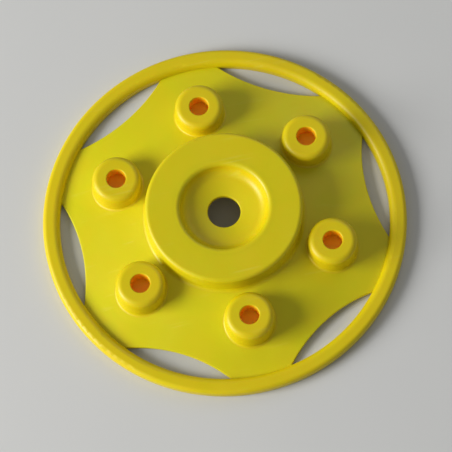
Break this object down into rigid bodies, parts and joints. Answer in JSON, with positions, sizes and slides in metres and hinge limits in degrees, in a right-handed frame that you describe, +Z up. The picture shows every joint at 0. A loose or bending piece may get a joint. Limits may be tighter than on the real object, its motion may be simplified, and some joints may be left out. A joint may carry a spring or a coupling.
{
  "type": "toy merry-go-round turntable",
  "caption": "Round toy merry-go-round: conical deck with lens-shaped slots, ring hand rail, cupped hub and figure pegs, turning on a low pivot foot.",
  "frame": {"origin": "on the spin axis, at the floor under the pivot foot", "axes": "+Z up along the spin axis; peg 1 on +Y; a slot is centred on +X"},
  "size_m": [0.1, 0.1, 0.0128],
  "materials": {
    "turntable_plastic": "glossy injection-moulded polyethylene, warm yellow, slightly translucent",
    "foot_plastic": "the same yellow moulded plastic as the turntable"
  },
  "bodies": {
    "foot": {"foot_plate": "foot_plastic", "foot_socket": "foot_plastic"},
    "turntable": {"hand_rail": "turntable_plastic", "deck": "turntable_plastic", "hub": "turntable_plastic", "cup": "turntable_plastic", "journal": "turntable_plastic", "peg_1": "turntable_plastic", "peg_2": "turntable_plastic", "peg_3": "turntable_plastic", "peg_4": "turntable_plastic", "peg_5": "turntable_plastic", "peg_6": "turntable_plastic"}
  },
  "joints": [
    {"name": "spin", "type": "hinge", "parent": "foot", "child": "turntable", "pos_m": [0, 0, 0], "axis": [0, 0, 1], "continuous": true}
  ]
}
